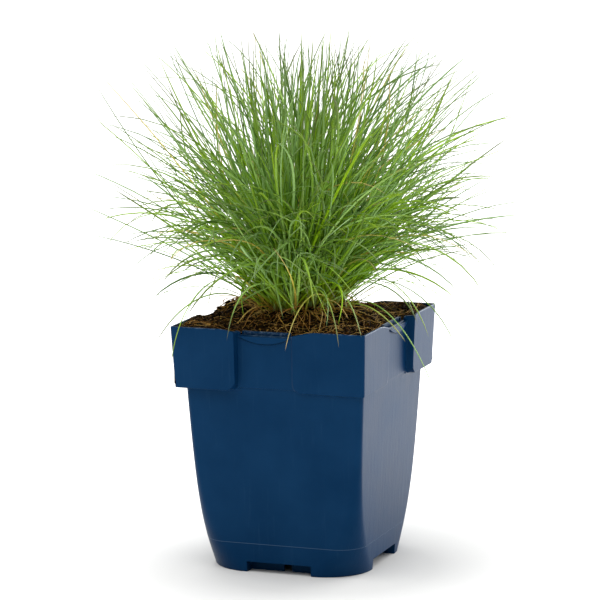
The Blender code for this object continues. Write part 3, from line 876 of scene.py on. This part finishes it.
def peat():
    """Moist peat: near black with brown crumbs, specks of orange fibre and a few pale grains."""
    look = Finish("peat")
    straight = look.place()
    crumbs = look.noise(straight, 360.0, 5.0, 0.65)
    patches = look.noise(straight, 70.0, 3.0)
    stops = ((0.42, (0.0014, 0.0005, 0.0001)), (0.56, (0.011, 0.0042, 0.0004)), (0.72, (0.17, 0.070, 0.008)))
    colour = look.ramp(crumbs, stops)
    colour = look.mix(look.span(patches, 0.45, 0.75, 0.0, 0.4), colour, (0.034, 0.013, 0.0018))
    specks = look.span(look.noise(straight, 700.0, 2.0), 0.62, 0.70)
    colour = look.mix(look.math("MULTIPLY", specks, 0.7), colour, (0.32, 0.19, 0.05))
    look.bump(crumbs, 0.9, 0.0012)
    return look.finish(colour, look.span(crumbs, 0.2, 0.8, 0.95, 0.75), IOR=1.15)


def crumb():
    """Crumbs of peat and bark, each with its own tone."""
    look = Finish("peat_crumb")
    speckle = look.noise(look.place(), 900.0, 3.0)
    stops = (
        (0.0, (0.0016, 0.0006, 0.0001)), (0.60, (0.012, 0.0046, 0.0005)),
        (0.90, (0.09, 0.036, 0.004)), (1.0, (0.38, 0.21, 0.05)),
    )
    colour = look.ramp(look.mark("tone"), stops)
    colour = look.mix(look.span(speckle, 0.4, 0.8, 0.0, 0.6), colour, (0.012, 0.006, 0.003))
    look.bump(speckle, 0.6, 0.0004)
    return look.finish(colour, look.span(speckle, 0.2, 0.8, 0.95, 0.80), IOR=1.15)


def fibre():
    """Root and peat fibres from dark brown to orange straw."""
    look = Finish("root_fibre")
    speckle = look.noise(look.place(), 600.0, 2.0)
    stops = ((0.0, (0.08, 0.030, 0.004)), (0.45, (0.42, 0.190, 0.024)), (1.0, (0.90, 0.56, 0.16)))
    colour = look.ramp(look.mark("tone"), stops)
    colour = look.mix(look.span(speckle, 0.45, 0.8, 0.0, 0.4), colour, (0.07, 0.03, 0.006))
    look.bump(speckle, 0.4, 0.0002)
    return look.finish(colour, look.span(speckle, 0.2, 0.8, 0.85, 0.65))


def straw():
    """Dead leaves: straw and orange brown, with dark blotches along them."""
    look = Finish("dry_leaf")
    blotches = look.noise(look.place(), 260.0, 3.0)
    stops = ((0.0, (0.30, 0.115, 0.014)), (0.45, (0.60, 0.30, 0.045)), (1.0, (0.86, 0.60, 0.19)))
    colour = look.ramp(look.mark("tone"), stops)
    colour = look.mix(look.span(blotches, 0.50, 0.80, 0.0, 0.5), colour, (0.16, 0.065, 0.012))
    look.bump(blotches, 0.4, 0.0002)
    return look.finish(colour, look.span(blotches, 0.2, 0.8, 0.75, 0.55))


def green_leaf():
    """Needle leaf: a straw and yellow-green sheath, fresh green, then a grey bloom and a grey-brown tip."""
    look = Finish("fescue_leaf")
    along, tone, shade, dry = (look.mark(name) for name in ("along", "tone", "shade", "dry"))
    stops = (
        (0.0, (0.40, 0.25, 0.026)), (0.07, (0.38, 0.41, 0.016)), (0.22, (0.28, 0.51, 0.010)),
        (0.46, (0.25, 0.46, 0.014)), (0.74, (0.155, 0.26, 0.026)), (0.92, (0.10, 0.125, 0.036)),
        (1.0, (0.09, 0.07, 0.040)),
    )
    colour = look.ramp(along, stops)
    bloom = look.span(tone, 0.45, 0.90, 0.0, 0.75)
    colour = look.mix(look.math("MULTIPLY", bloom, look.span(along, 0.15, 0.45)), colour, (0.25, 0.42, 0.155))
    fresh = look.span(tone, 0.38, 0.0, 0.0, 0.75)
    colour = look.mix(fresh, colour, (0.31, 0.52, 0.001))
    streaks = look.noise(look.place(), 180.0, 3.0)
    # painted shading: some leaves are darkened as a whole by their own random number, together with real dark
    # blotches from the streaks
    blotched, shaded = look.span(streaks, 0.40, 0.80, 0.0, 0.30), look.span(shade, 0.55, 0.0, 0.0, 0.85)
    dark = look.math("MAXIMUM", blotched, shaded)
    colour = look.mix(dark, colour, (0.038, 0.112, 0.001))
    # painted highlight: other leaves are made paler on their lower half
    pale = look.math("MULTIPLY", look.span(shade, 0.66, 0.92, 0.0, 0.60), look.span(along, 0.85, 0.50))
    colour = look.mix(pale, colour, (0.50, 0.76, 0.28))
    stops = ((0.0, (0.42, 0.22, 0.03)), (0.5, (0.66, 0.54, 0.08)), (1.0, (0.56, 0.40, 0.17)))
    colour = look.mix(dry, colour, look.ramp(along, stops))
    look.bump(streaks, 0.25, 0.0002)
    return look.finish(colour, look.span(streaks, 0.2, 0.8, 0.45, 0.60), IOR=1.30)


# Studio

FLOOR_REACH = 9.0
CAMERA_TURN, CAMERA_RISE, CAMERA_ROLL = 20.418, 9.596, -0.5226
CAMERA_DISTANCE = 2.1394
CAMERA_ASIDE = -0.0033
CAMERA_AIM_HEIGHT = 0.17062
CAMERA_LENS = 197.4


def set_stage():
    """A pale floor that glows more with the distance from the pot, and a surround that is bright behind."""
    finish = Finish("stage_floor")
    tint = finish.noise(finish.place(), 3.0, 2.0)
    finish.finish(finish.ramp(tint, ((0.0, (0.52, 0.52, 0.515)), (1.0, (0.54, 0.54, 0.535)))), 0.9)
    # painted light: the floor's glow grows with the distance from a point just in front of the pot and to its
    # right, so a painted soft shadow stays round the pot
    sockets = {0: finish.place(), 1: (0.022, -0.024, 0.0)}
    distance = finish.add("ShaderNodeVectorMath", sockets, operation="DISTANCE").outputs["Value"]
    finish.feed(finish.shader.inputs["Emission Strength"], finish.span(distance, 0.07, 0.35, 0.0, 0.8))
    finish.shader.inputs["Emission Color"].default_value = (1.0, 1.0, 1.0, 1.0)
    mesh = bpy.data.meshes.new("stage_floor")
    corners = [(x * FLOOR_REACH, y * FLOOR_REACH, 0) for x, y in ((-1, -1), (1, -1), (1, 1), (-1, 1))]
    mesh.from_pydata(corners, [], [(0, 1, 2, 3)])
    mesh.materials.append(finish.material)
    floor = bpy.data.objects.new("stage_floor", mesh)
    bpy.context.scene.collection.objects.link(floor)

    world = bpy.data.worlds.new("studio")
    bpy.context.scene.world = world
    world.use_nodes = True
    nodes, links = world.node_tree.nodes, world.node_tree.links
    direction = nodes.new("ShaderNodeTexCoord")
    parts = nodes.new("ShaderNodeSeparateXYZ")
    links.new(direction.outputs["Generated"], parts.inputs[0])
    levels = []
    for axis, low, high, dim, bright in (("Y", -0.3, 0.6, 0.12, 1.5), ("Z", 0.1, 0.7, 0.0, 1.35)):
        level = nodes.new("ShaderNodeMapRange")
        level.interpolation_type = "SMOOTHSTEP"
        for key, value in {"From Min": low, "From Max": high, "To Min": dim, "To Max": bright}.items():
            level.inputs[key].default_value = value
        links.new(parts.outputs[axis], level.inputs["Value"])
        levels.append(level.outputs[0])
    brighter = nodes.new("ShaderNodeMath")
    brighter.operation = "MAXIMUM"
    links.new(levels[0], brighter.inputs[0])
    links.new(levels[1], brighter.inputs[1])
    ray = nodes.new("ShaderNodeLightPath")
    shown = nodes.new("ShaderNodeMath")
    shown.operation = "MAXIMUM"
    links.new(brighter.outputs[0], shown.inputs[0])
    links.new(ray.outputs["Is Camera Ray"], shown.inputs[1])
    links.new(shown.outputs[0], nodes["Background"].inputs["Strength"])
    nodes["Background"].inputs["Color"].default_value = (1.0, 1.0, 1.0, 1.0)


def add_lamp(name, place, aim, size, power):
    """A soft square lamp that looks at a point."""
    light = bpy.data.lights.new(name, "AREA")
    light.shape = "RECTANGLE"
    light.size, light.size_y = size
    light.energy = power
    lamp = bpy.data.objects.new(name, light)
    bpy.context.scene.collection.objects.link(lamp)
    lamp.location = place
    lamp.rotation_euler = (Vector(aim) - Vector(place)).to_track_quat("-Z", "Y").to_euler()
    lamp.visible_camera = False


def add_camera():
    """A long lens from the front, a little to the right of the pot and a little above it."""
    turn, rise, roll = (math.radians(angle) for angle in (CAMERA_TURN, CAMERA_RISE, CAMERA_ROLL))
    level_right = Vector((math.cos(turn), math.sin(turn), 0.0))
    back = Vector((math.sin(turn) * math.cos(rise), -math.cos(turn) * math.cos(rise), math.sin(rise)))
    level_up = back.cross(level_right)
    right = level_right * math.cos(roll) + level_up * math.sin(roll)
    up = level_up * math.cos(roll) - level_right * math.sin(roll)
    place = level_right * CAMERA_ASIDE + Vector((0, 0, CAMERA_AIM_HEIGHT)) + back * CAMERA_DISTANCE
    data = bpy.data.cameras.new("camera")
    data.sensor_width = 36.0
    data.lens = CAMERA_LENS
    data.clip_end = 60.0
    camera = bpy.data.objects.new("camera", data)
    bpy.context.scene.collection.objects.link(camera)
    rotation = Matrix((right, up, back)).transposed()
    camera.matrix_world = Matrix.Translation(place) @ rotation.to_4x4()
    bpy.context.scene.camera = camera


add_camera()
set_stage()
add_lamp("overhead", (-0.3, -0.3, 2.2), (0.0, 0.0, 0.2), (2.4, 2.4), 52.0)
add_lamp("back_right", (1.05, 2.2, 0.55), (0.0, 0.0, 0.12), (1.8, 1.2), 54.0)
bpy.context.scene.view_settings.view_transform = "Standard"

make_pot(navy_plastic())
make_peat(peat())
make_crumbs(crumb())
make_litter(fibre(), straw())
leaf = green_leaf()
make_tufts(leaf)
make_arching_leaves(leaf)


def plain(corners):
    """A box's corners as plain lists."""
    return [[float(value) for value in corner] for corner in corners]
